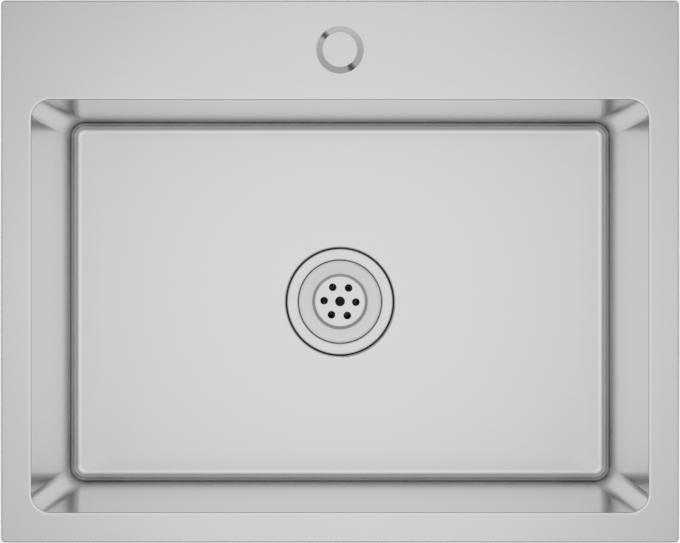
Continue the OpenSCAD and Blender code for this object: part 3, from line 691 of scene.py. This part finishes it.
def copy_of_node(node_name, name):
    """A free copy of a CAD node, with its loose triangles merged and its flat faces made whole."""
    piece = copied(frame["nodes"][node_name], name)
    piece.parent = None
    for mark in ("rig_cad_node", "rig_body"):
        del piece[mark]
    pick(piece)
    if piece.data.has_custom_normals:
        bpy.ops.mesh.customdata_custom_splitnormals_clear()
    bpy.ops.object.mode_set(mode="EDIT")
    bpy.ops.mesh.select_all(action="SELECT")
    bpy.ops.mesh.remove_doubles(threshold=0.0005 * MM)
    bpy.ops.mesh.dissolve_limited(angle_limit=math.radians(0.5))
    bpy.ops.object.mode_set(mode="OBJECT")
    return piece


def hand_over(piece, body, slot, material, *nodes, smooth=35):
    """Finishes a piece: shading, material, the body that it rides on and the CAD nodes that it stands for."""
    pick(piece)
    bpy.ops.object.shade_smooth_by_angle(angle=math.radians(smooth))
    finish_with(piece, material)
    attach(piece, body)
    if nodes:
        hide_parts(*nodes)


def heights(node_name):
    """Lowest and highest place of a CAD node, in mm."""
    low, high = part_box(node_name)
    return low.z / MM, high.z / MM


def half_width(node_name):
    """Half the width of a CAD node, left to right, in mm."""
    low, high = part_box(node_name)
    return (high.x - low.x) / 2 / MM


# Operators, one for each piece or group of like pieces


class SINK_OT_panel(bpy.types.Operator):
    """Finish the flat panel with its straight brushed grain"""

    bl_idname = "sink.panel"
    bl_label = "Panel"

    def execute(self, context):
        finish_with(frame["nodes"]["deck_panel"], brushed_stainless_panel(context.scene.sink_finish))
        return {"FINISHED"}


class SINK_OT_bowl(bpy.types.Operator):
    """Finish the drawn bowl, satin inside and dull outside"""

    bl_idname = "sink.bowl"
    bl_label = "Bowl"

    def execute(self, context):
        finish_with(frame["nodes"]["bowl"], satin_stainless_bowl(context.scene.sink_finish))
        return {"FINISHED"}


class SINK_OT_waste(bpy.types.Operator):
    """Finish the waste body and its basket, and cut the threads of the cup and the neck"""

    bl_idname = "sink.waste"
    bl_label = "Waste and basket"

    def execute(self, context):
        finish = context.scene.sink_finish
        sizes = context.scene.sink_sizes
        finish_with(frame["nodes"]["strainer_basket"], drawn_basket(finish))
        body = self.body(sizes.waste_thread_depth / MM, sizes.waste_pitch / MM)
        hand_over(body, "root", "polished_waste", turned_waste_body(finish), "strainer_body")
        return {"FINISHED"}

    def body(self, depth, pitch):
        """Turned body: neck, cone, cup, and a flange whose lip turns down into the drain seat."""
        middle = centre_of("strainer_body")
        low, high = heights("strainer_body")
        outer = half_width("strainer_body")
        neck, cup, lip = 23.5, 42.0, 1.5
        lip_round = [(outer - lip + lip * math.cos(a), high - lip + lip * math.sin(a))
                     for a in (math.radians(15 * i) for i in range(7))]
        body = turned("threaded_waste_body", middle, [
            (20, low + 0.6), (20.6, low), (neck - depth, low), (neck - depth, low + 12), (neck, low + 13),
            (neck, low + 13.5), (cup, low + 21.5), (cup, low + 23), (cup - depth, low + 24),
            (cup - depth, high - 4.7), (cup, high - 3.9), (cup, high - 3.7), (cup + 0.22, high - 3.7),
            (cup + 1.62, high - 1.5), (outer - lip, high - 1.5), (outer - lip, high - 2.7), (outer, high - 2.7),
            *lip_round, (cup + 1.24, high), (cup + 0.85, high - 0.1), (cup + 0.56, high - 0.37),
            (cup + 0.3, high - 0.79), (cup - 0.6, high - 2.2), (39.5, high - 2.2), (39.5, high - 37.5),
            (20, low + 16)], 0, 128)
        for start, end, crest in ((low + 0.8, low + 12.6, neck), (low + 23.4, high - 4.2, cup)):
            combine(body, thread_ridge(middle, start, end, crest, depth, pitch, 64), "UNION")
        return clean(body)


class SINK_OT_cap(bpy.types.Operator):
    """Finish the cap over the tap hole"""

    bl_idname = "sink.cap"
    bl_label = "Tap hole cap"

    def execute(self, context):
        finish_with(frame["nodes"]["cover_cap"], pressed_cap(context.scene.sink_finish))
        return {"FINISHED"}


class SINK_OT_rim_seal(bpy.types.Operator):
    """Lay the foam strip under the panel's edge"""

    bl_idname = "sink.rim_seal"
    bl_label = "Rim seal"

    def execute(self, context):
        low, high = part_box("rim_seal")
        width = 8.0 * MM
        clear_selection()
        bpy.ops.mesh.primitive_plane_add(size=1, location=((low.x + high.x) / 2, (low.y + high.y) / 2, low.z))
        seal = bpy.context.object
        seal.name = "foam_rim_seal"
        bpy.ops.object.mode_set(mode="EDIT")
        bpy.ops.transform.resize(value=(high.x - low.x, high.y - low.y, 1))
        bpy.ops.mesh.select_all(action="SELECT")
        bpy.ops.mesh.inset(thickness=width)
        bpy.ops.mesh.delete(type="FACE")
        bpy.ops.mesh.select_all(action="SELECT")
        bpy.ops.mesh.extrude_region_move(TRANSFORM_OT_translate={"value": (0, 0, high.z - low.z)})
        # The strip's outer corners are round and its inner ones are cut square.
        half = (high - low) / 2
        select_lines(seal, lambda a, b, line: abs(a.z - b.z) > half.z and abs(a.x) > half.x - MM)
        bpy.ops.mesh.bevel(offset=2.5 * MM, segments=6, affect="EDGES")
        close_up(seal)
        soften(seal, 0.35 * MM, 3, 60)
        hand_over(seal, "root", "grey_foam", closed_cell_foam(context.scene.sink_finish), "rim_seal")
        return {"FINISHED"}


class SINK_OT_sound_pads(bpy.types.Operator):
    """Stick the six sound pads on the bowl's outside"""

    bl_idname = "sink.sound_pads"
    bl_label = "Sound pads"

    def execute(self, context):
        material = bitumen_rubber_pad(context.scene.sink_finish)
        for name, thin, outward in (("floor_pad_left", 2, -1), ("floor_pad_right", 2, -1), ("left_pad", 0, -1),
                                    ("right_pad", 0, 1), ("front_pad", 1, -1), ("rear_pad", 1, 1)):
            piece = self.pad(context.scene.sink_sizes, name, thin, outward)
            hand_over(piece, "root", "sound_pad", material, name)
        return {"FINISHED"}

    def pad(self, sizes, name, thin, outward):
        """One pad that is thin along an axis, with its outer face's edges rounded."""
        low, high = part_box(name)
        size = high - low
        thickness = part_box("floor_pad_left")[1].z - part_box("floor_pad_left")[0].z
        # A wall pad leans with its wall, so its box is wider than the pad is thick.
        lean = math.asin((size[thin] - thickness) / size.z) if thin < 2 else 0.0
        size.z -= thickness * math.sin(lean)
        size[thin] = thickness
        piece = block(-size / 2 / MM, size / 2 / MM)
        piece.name = "bitumen_" + name
        pick(piece)
        bpy.ops.object.mode_set(mode="EDIT")
        select_lines(piece, lambda a, b, line: abs(a[thin] - b[thin]) > thickness / 2)
        bpy.ops.mesh.bevel(offset=12 * MM, segments=10, affect="EDGES")
        face = outward * thickness / 2
        select_lines(piece, lambda a, b, line: abs(a[thin] - face) < 0.01 * MM and abs(b[thin] - face) < 0.01 * MM
                     and any(abs(f.normal[thin]) < 0.5 for f in line.link_faces))
        bpy.ops.mesh.bevel(offset=sizes.pad_edge, segments=3, affect="EDGES")
        close_up(piece)
        piece.location = (low + high) / 2
        piece.rotation_euler = (-outward * lean if thin == 1 else 0, outward * lean if thin == 0 else 0, 0)
        apply_place(piece)
        return piece


class SINK_OT_rubber_rings(bpy.types.Operator):
    """Mould the four rubber rings with round edges"""

    bl_idname = "sink.rubber_rings"
    bl_label = "Rubber rings"

    def execute(self, context):
        material = moulded_rubber(context.scene.sink_finish)
        edge = context.scene.sink_sizes.rubber_edge
        bores = {"flange_seal": 45.2, "drain_washer": CUP_CLEAR, "tailpiece_washer": PIPE_BORE, "cover_seal": None}
        for name, bore in bores.items():
            low, high = heights(name)
            outer = half_width(name)
            inner = bore if bore else outer - 3.5
            ring = turned("rubber_" + name, centre_of(name),
                          [(inner, low), (outer, low), (outer, high), (inner, high)], edge)
            hand_over(ring, "root", "black_rubber", material, name)
        return {"FINISHED"}


class SINK_OT_lock_nut(bpy.types.Operator):
    """Mould the slip ring and the lugged lock nut under the drain seat"""

    bl_idname = "sink.lock_nut"
    bl_label = "Slip ring and lock nut"

    def execute(self, context):
        finish = context.scene.sink_finish
        edge = context.scene.sink_sizes.moulded_edge
        middle = centre_of("lock_nut")
        low, high = heights("friction_ring")
        outer = half_width("friction_ring")
        ring = turned("plastic_slip_ring", middle, [(CUP_CLEAR, low), (outer, low), (outer, high), (CUP_CLEAR, high)],
                      edge * 0.6)
        hand_over(ring, "root", "white_plastic",
                  moulded_polypropylene(finish, "white_polypropylene_ring", finish.white_plastic), "friction_ring")
        low, high = heights("lock_nut")
        outer = half_width("lock_nut")
        collar = outer - 3.5
        step = high - 3
        nut = turned("plastic_lock_nut", middle, [
            (CUP_CLEAR, low), (collar, low), (collar, step), (outer, step), (outer, high), (CUP_CLEAR, high)], edge)
        lugs = []
        for i in range(8):
            lug = block((middle.x / MM + collar - 2, middle.y / MM - 4, low + 0.01),
                        (middle.x / MM + outer - 1, middle.y / MM + 4, step + 0.4))
            soften(lug, edge * 1.4, 3)
            lugs.append(copied(lug, f"lug_{i}", turn=math.radians(45 * i), about=middle))
            bpy.data.objects.remove(lug)
        nut = joined("plastic_lock_nut", [nut] + lugs)
        hand_over(nut, "root", "grey_plastic",
                  moulded_polypropylene(finish, "grey_polypropylene_nut", finish.grey_plastic), "lock_nut")
        return {"FINISHED"}


class SINK_OT_outlet(bpy.types.Operator):
    """Mould the outlet pipe and its ribbed coupling nut"""

    bl_idname = "sink.outlet"
    bl_label = "Outlet pipe and coupling nut"

    def execute(self, context):
        finish = context.scene.sink_finish
        edge = context.scene.sink_sizes.moulded_edge
        middle = centre_of("tailpiece")
        low, high = heights("tailpiece")
        collar = half_width("tailpiece")
        under = high - 2
        pipe = turned("plastic_outlet_pipe", middle, [
            (PIPE_BORE, low), (19.2, low), (20, low + 1.6), (20, under), (collar, under), (collar, high),
            (PIPE_BORE, high)], edge * 0.5)
        hand_over(pipe, "root", "white_plastic",
                  moulded_polypropylene(finish, "white_polypropylene_pipe", finish.white_plastic), "tailpiece")
        low, high = heights("coupling_nut")
        nut = turned("plastic_coupling_nut", middle, [
            (21.2, low), (27.7, low), (27.7, high), (23.7, high), (23.7, low + 3), (21.2, low + 3)], edge)
        ribs = []
        for i in range(12):
            angle = math.radians(30 * i)
            rib = rod(middle + Vector((math.cos(angle), math.sin(angle), 0)) * 27.7 * MM, low, high, 1.6, 24)
            soften(rib, edge * 1.2, 3, 60)
            ribs.append(rib)
        nut = joined("plastic_coupling_nut", [nut] + ribs)
        hand_over(nut, "root", "grey_plastic",
                  moulded_polypropylene(finish, "grey_polypropylene_coupling", finish.grey_plastic), "coupling_nut")
        return {"FINISHED"}


class SINK_OT_cover_fixing(bpy.types.Operator):
    """Cut the cap's threaded stud, and shape its clamp washer and wing nut"""

    bl_idname = "sink.cover_fixing"
    bl_label = "Cap fixing"

    def execute(self, context):
        sizes = context.scene.sink_sizes
        zinc = zinc_plated_steel(context.scene.sink_finish)
        middle = centre_of("cover_stud")
        low, high = heights("cover_stud")
        stud = threaded("threaded_cap_stud", middle, low, high - 0.9, STUD_CREST, STUD_DEPTH, sizes.stud_pitch / MM, 20)
        disc = turned("weld_disc", middle, [(0, high - 1), (8, high - 1), (8, high), (0, high)], 0.2 * MM,
                      sharp=(0, 3))
        stud = joined("threaded_cap_stud", [stud, disc])
        hand_over(stud, "root", "zinc_steel", zinc, "cover_stud")
        low, high = heights("cover_washer")
        washer = turned("clamp_washer", middle, [(STUD_HOLE, low), (23, low), (23, high), (STUD_HOLE, high)],
                        sizes.pressed_edge)
        hand_over(washer, "cover_clamp", "zinc_steel", zinc, "cover_washer")
        nut = copy_of_node("cover_nut", "cast_wing_nut")
        soften(nut, sizes.pressed_edge, 3, 40)
        hand_over(nut, "cover_wing", "zinc_steel", zinc, "cover_nut")
        return {"FINISHED"}


class SINK_OT_clips(bpy.types.Operator):
    """Build the four fixing clips: stud, toothed claw, washer and hexagon nut"""

    bl_idname = "sink.clips"
    bl_label = "Fixing clips"

    def execute(self, context):
        sizes = context.scene.sink_sizes
        zinc = bpy.data.materials.get("zinc_plated_steel") or zinc_plated_steel(context.scene.sink_finish)
        edge = sizes.pressed_edge
        first = centre_of("left_front_nut")
        low, high = heights("clip_studs")
        stud = threaded("stud", first, low, high - 1.9, STUD_CREST, STUD_DEPTH, sizes.stud_pitch / MM, 16)
        foot = turned("foot", first, [(0, high - 2), (3.6, high - 2), (5, high - 1.2), (5, high), (0, high)],
                      0.15 * MM, sharp=(0, 4))
        stud = joined("stud", [stud, foot])
        claw = self.claw(first, edge)
        washer_low, washer_high = heights("left_front_washer")
        washer = turned("washer", first, [(STUD_HOLE, washer_low), (5.8, washer_low), (5.8, washer_high),
                                          (STUD_HOLE, washer_high)], edge, 48)
        nut = self.nut(first)
        studs = []
        for corner in CORNERS:
            shift = centre_of(corner + "_nut") - first
            about = first
            rear = corner.endswith("rear")
            studs.append(copied(stud, corner + "_stud", shift))
            turn = math.pi if rear else 0.0
            hand_over(copied(claw, corner + "_toothed_claw", shift, turn, about), corner + "_clip_claw",
                      "zinc_steel", zinc, corner + "_claw")
            hand_over(copied(washer, corner + "_plain_washer", shift), corner + "_clip_lift", "zinc_steel", zinc,
                      corner + "_washer")
            hand_over(copied(nut, corner + "_hexagon_nut", shift, math.pi / 2, about), corner + "_clip_nut",
                      "zinc_steel", zinc, corner + "_nut")
        hand_over(joined("threaded_clip_studs", studs), "root", "zinc_steel", zinc, "clip_studs")
        for pattern in (stud, claw, washer, nut):
            bpy.data.objects.remove(pattern)
        return {"FINISHED"}

    def claw(self, middle, edge):
        """Bent strip that points to the rear, with a round root, a hole for the stud and four teeth."""
        low, high = heights("left_front_claw")
        strip, half, reach = 2.5, 6.0, 23.8
        x, y = middle.x / MM, middle.y / MM
        outline = [(0, 0), (reach, 0), (reach, high - low), (reach - strip, high - low), (reach - strip, strip),
                   (0, strip)]
        claw = closed_outline("claw", [((x - half) * MM, (y + a) * MM, (low + b) * MM) for a, b in outline])
        select_points(claw, lambda p: (p - Vector(((x - half) * MM, (y + reach) * MM, low * MM))).length < MM / 10)
        bpy.ops.mesh.bevel(offset=3.2 * MM, segments=6, affect="VERTICES")
        select_points(claw, lambda p: (p - Vector(((x - half) * MM, (y + reach - strip) * MM,
                                                   (low + strip) * MM))).length < MM / 10)
        bpy.ops.mesh.bevel(offset=0.7 * MM, segments=4, affect="VERTICES")
        bpy.ops.mesh.select_all(action="SELECT")
        bpy.ops.mesh.edge_face_add()
        bpy.ops.mesh.extrude_region_move(TRANSFORM_OT_translate={"value": (2 * half * MM, 0, 0)})
        close_up(claw)
        combine(claw, rod(middle, low, low + strip, half, 64), "UNION")
        combine(claw, rod(middle, low - 1, low + strip + 1, STUD_HOLE, 48), "DIFFERENCE")
        soften(clean(claw), edge * 0.8, 2)
        for i in range(-2, 3):
            clear_selection()
            bpy.ops.mesh.primitive_cylinder_add(
                vertices=4, radius=1.5 * MM, depth=10 * MM, rotation=(math.pi / 2, 0, 0),
                location=((x + 3 * i) * MM, (y + reach) * MM, high * MM))
            notch = bpy.context.object
            apply_place(notch)
            combine(claw, notch, "DIFFERENCE")
        return clean(claw)

    def nut(self, middle):
        """Hexagon nut with chamfered corners and a countersunk bore."""
        low, high = heights("left_front_nut")
        nut = rod(middle, low, high, 10 / math.sqrt(3), 6)
        nut.name = "nut"
        barrel = turned("barrel", middle, [(0, low), (4.8, low), (5.78, low + 0.5), (5.78, high - 0.5),
                                           (4.8, high), (0, high)], 0, 64)
        combine(nut, barrel, "INTERSECT")
        bore = turned("bore", middle, [
            (0, low - 0.5), (3.9, low - 0.5), (3.05, low + 0.45), (3.05, high - 0.45), (3.9, high + 0.5),
            (0, high + 0.5)], 0, 48)
        combine(nut, bore, "DIFFERENCE")
        return clean(nut)


class SINK_OT_stage(bpy.types.Operator):
    """Set the floor, the studio light and the camera"""

    bl_idname = "sink.stage"
    bl_label = "Stage"

    def execute(self, context):
        stage = context.scene.sink_stage
        context.scene.view_settings.view_transform = "Standard"
        self.sky(context.scene)
        self.soft_box(stage)
        self.floor(stage)
        self.lamps(stage)
        camera = bpy.data.cameras.new("camera")
        camera.lens = stage.camera_lens
        camera.sensor_width = 36
        holder = bpy.data.objects.new("camera", camera)
        context.scene.collection.objects.link(holder)
        holder.location = (0, 0, stage.camera_height)
        context.scene.camera = holder
        return {"FINISHED"}

    def sky(self, scene):
        """Pale room around the soft box. The camera sees plain white."""
        world = bpy.data.worlds.new("pale_room")
        scene.world = world
        world.use_nodes = True
        tree = world.node_tree
        tree.nodes.clear()
        place = node(tree, "ShaderNodeTexCoord")
        parts = node(tree, "ShaderNodeSeparateXYZ", links={0: place.outputs["Generated"]})
        angle = node(tree, "ShaderNodeMath", {"operation": "ARCCOSINE"}, {0: parts.outputs["Z"]})
        degrees = node(tree, "ShaderNodeMath", {"operation": "DEGREES"}, {0: angle.outputs[0]})
        # Brightness by the angle from straight up, in degrees
        levels = ((0, 0.79), (10, 0.72), (24, 0.46), (40, 0.36), (54, 0.32), (58, 0.36), (64, 0.39), (68, 0.43),
                  (73, 0.56), (80, 0.42), (90, 0.15), (180, 0.1))
        soft = node(tree, "ShaderNodeBackground", links={0: brightness_by(tree, degrees.outputs[0], levels)})
        white = node(tree, "ShaderNodeBackground", {"Color": (1, 1, 1, 1)})
        path = node(tree, "ShaderNodeLightPath")
        seen = node(tree, "ShaderNodeMixShader", links={0: path.outputs["Is Camera Ray"], 1: soft.outputs[0],
                                                        2: white.outputs[0]})
        node(tree, "ShaderNodeOutputWorld", links={0: seen.outputs[0]})

    def soft_box(self, stage):
        """Round soft box over the camera, brightest in its middle, that the steel mirrors."""
        clear_selection()
        bpy.ops.mesh.primitive_circle_add(vertices=96, radius=1.3, fill_type="NGON")
        box = bpy.context.object
        box.name = "soft_box"
        box.location = (0, stage.box_shift, stage.box_height)
        material = bpy.data.materials.new("soft_box_cloth")
        material.use_nodes = True
        tree = material.node_tree
        tree.nodes.clear()
        place = node(tree, "ShaderNodeTexCoord")
        flat = node(tree, "ShaderNodeMapping", {"Scale": (1, 1, 0)}, {"Vector": place.outputs["Object"]})
        reach = node(tree, "ShaderNodeVectorMath", {"operation": "LENGTH"}, {0: flat.outputs[0]})
        # Brightness by the distance from the middle, in metres
        levels = ((0, 0.79), (0.22, 0.79), (0.3, 0.775), (0.37, 0.757), (0.42, 0.74), (0.5, 0.732), (0.55, 0.71),
                  (0.587, 0.678), (0.62, 0.65), (0.7, 0.615), (0.73, 0.6), (0.78, 0.558), (1.0, 0.43), (1.3, 0.37))
        glow = node(tree, "ShaderNodeEmission", links={0: brightness_by(tree, reach.outputs["Value"], levels)})
        node(tree, "ShaderNodeOutputMaterial", links={"Surface": glow.outputs[0]})
        finish_with(box, material)
        box.visible_camera = False
        box.visible_shadow = False
        box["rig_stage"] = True

    def floor(self, stage):
        """Pale floor that keeps the sink's shadow. It glows a little for the camera and for reflections, but not
        under the sink, so that the drain's holes stay dark."""
        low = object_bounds()[0]
        clear_selection()
        bpy.ops.mesh.primitive_plane_add(size=8, location=(0, 0, low[2] - stage.floor_drop))
        floor = bpy.context.object
        floor.name = "floor"
        apply_place(floor)
        material, tree, shader, place = new_material("pale_floor")
        shader.inputs["Base Color"].default_value = linear("#efefef")
        shader.inputs["Roughness"].default_value = 0.9
        shader.inputs["Specular IOR Level"].default_value = 0.1
        parts = node(tree, "ShaderNodeSeparateXYZ", links={0: place.outputs["Object"]})
        across = node(tree, "ShaderNodeMath", {"operation": "ABSOLUTE"}, {0: parts.outputs["X"]})
        along = node(tree, "ShaderNodeMath", {"operation": "ABSOLUTE"}, {0: parts.outputs["Y"]})
        beside = node(tree, "ShaderNodeMapRange", {"From Min": 0.26, "From Max": 0.34}, {"Value": across.outputs[0]})
        before = node(tree, "ShaderNodeMapRange", {"From Min": 0.2, "From Max": 0.28}, {"Value": along.outputs[0]})
        outside = node(tree, "ShaderNodeMath", {"operation": "MAXIMUM"},
                       {0: beside.outputs[0], 1: before.outputs[0]})
        path = node(tree, "ShaderNodeLightPath")
        seen = node(tree, "ShaderNodeMath", {"operation": "MAXIMUM"},
                    {0: path.outputs["Is Camera Ray"], 1: path.outputs["Is Glossy Ray"]})
        seen = node(tree, "ShaderNodeMath", {"operation": "MAXIMUM"},
                    {0: seen.outputs[0], 1: path.outputs["Is Transmission Ray"]})
        glow = node(tree, "ShaderNodeMath", {"operation": "MULTIPLY"}, {0: outside.outputs[0], 1: seen.outputs[0]})
        glow = node(tree, "ShaderNodeMath", {"operation": "MULTIPLY", 1: 0.3}, {0: glow.outputs[0]})
        shader.inputs["Emission Color"].default_value = (1, 1, 1, 1)
        tree.links.new(glow.outputs[0], shader.inputs["Emission Strength"])
        # From below the floor is clear, so that the sink's underside can be seen.
        side = node(tree, "ShaderNodeNewGeometry")
        clear = node(tree, "ShaderNodeBsdfTransparent")
        whole = node(tree, "ShaderNodeMixShader", links={0: side.outputs["Backfacing"], 1: shader.outputs[0],
                                                         2: clear.outputs[0]})
        tree.links.new(whole.outputs[0], tree.get_output_node("ALL").inputs["Surface"])
        finish_with(floor, material)
        floor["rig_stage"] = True

    def lamps(self, stage):
        """Two soft lamps that light the matt pieces and the floor, and aren't mirrored in the steel."""
        for name, spot in (("lamp_left", (-1.3, -0.9, 1.5)), ("lamp_right", (1.3, 0.9, 1.5))):
            lamp = bpy.data.lights.new(name, "AREA")
            lamp.size = 1.2
            lamp.energy = stage.lamp_power
            holder = bpy.data.objects.new(name, lamp)
            bpy.context.scene.collection.objects.link(holder)
            holder.location = spot
            holder.rotation_euler = (Vector((0, 0, -0.1)) - Vector(spot)).to_track_quat("-Z", "Y").to_euler()
            holder.visible_glossy = False


class SINK_PT_sidebar(bpy.types.Panel):
    """Lists the sink's pieces and the stage"""

    bl_idname = "SINK_PT_sidebar"
    bl_label = "Sink"
    bl_space_type = "VIEW_3D"
    bl_region_type = "UI"
    bl_category = "Sink"

    def draw(self, context):
        for group in (context.scene.sink_sizes, context.scene.sink_finish, context.scene.sink_stage):
            box = self.layout.box()
            for name in group.__annotations__:
                box.prop(group, name)
        for operator in OPERATORS:
            self.layout.operator(operator.bl_idname)


GROUPS = (SinkSizes, SinkFinish, SinkStage)
OPERATORS = (SINK_OT_panel, SINK_OT_bowl, SINK_OT_waste, SINK_OT_cap, SINK_OT_rim_seal, SINK_OT_sound_pads,
             SINK_OT_rubber_rings, SINK_OT_lock_nut, SINK_OT_outlet, SINK_OT_cover_fixing, SINK_OT_clips,
             SINK_OT_stage)


def register():
    for item in GROUPS + OPERATORS + (SINK_PT_sidebar,):
        bpy.utils.register_class(item)
    bpy.types.Scene.sink_sizes = PointerProperty(type=SinkSizes)
    bpy.types.Scene.sink_finish = PointerProperty(type=SinkFinish)
    bpy.types.Scene.sink_stage = PointerProperty(type=SinkStage)


def unregister():
    del bpy.types.Scene.sink_sizes, bpy.types.Scene.sink_finish, bpy.types.Scene.sink_stage
    for item in reversed(GROUPS + OPERATORS + (SINK_PT_sidebar,)):
        bpy.utils.unregister_class(item)


def main():
    register()
    for operator in OPERATORS:
        group, name = operator.bl_idname.split(".")
        getattr(getattr(bpy.ops, group), name)()


if __name__ == "__main__":
    main()
